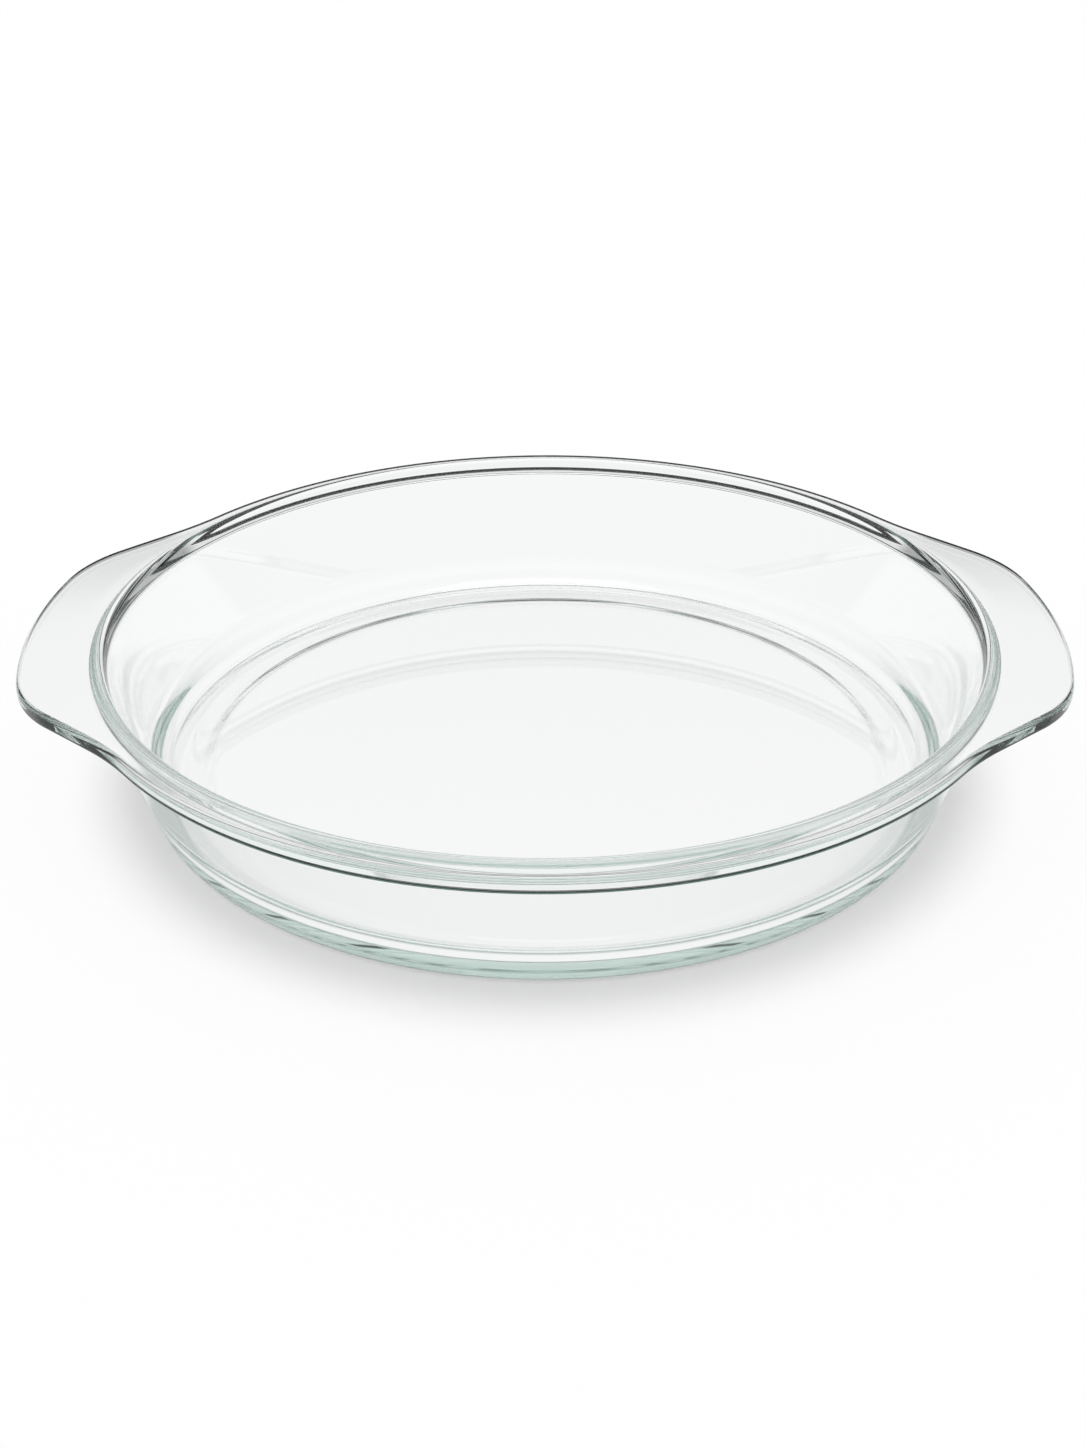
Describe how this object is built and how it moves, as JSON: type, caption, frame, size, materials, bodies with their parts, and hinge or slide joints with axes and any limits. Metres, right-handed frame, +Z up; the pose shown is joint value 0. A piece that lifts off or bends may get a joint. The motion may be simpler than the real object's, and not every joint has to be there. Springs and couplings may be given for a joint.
{
  "type": "glass pie dish",
  "caption": "Round shallow baking dish of clear pressed glass with sloping sides, a raised lip inside a flat rim band, and two flat handles that flow out of the rim.",
  "frame": {"origin": "on the table, under the middle of the floor", "axes": "+Z up out of the bowl, X through the middles of the two handles, Y across"},
  "size_m": [0.3142, 0.2816, 0.0465],
  "materials": {
    "pressed_glass": "gloss"
  },
  "bodies": {
    "root": {"dish": "pressed_glass"}
  },
  "joints": []
}
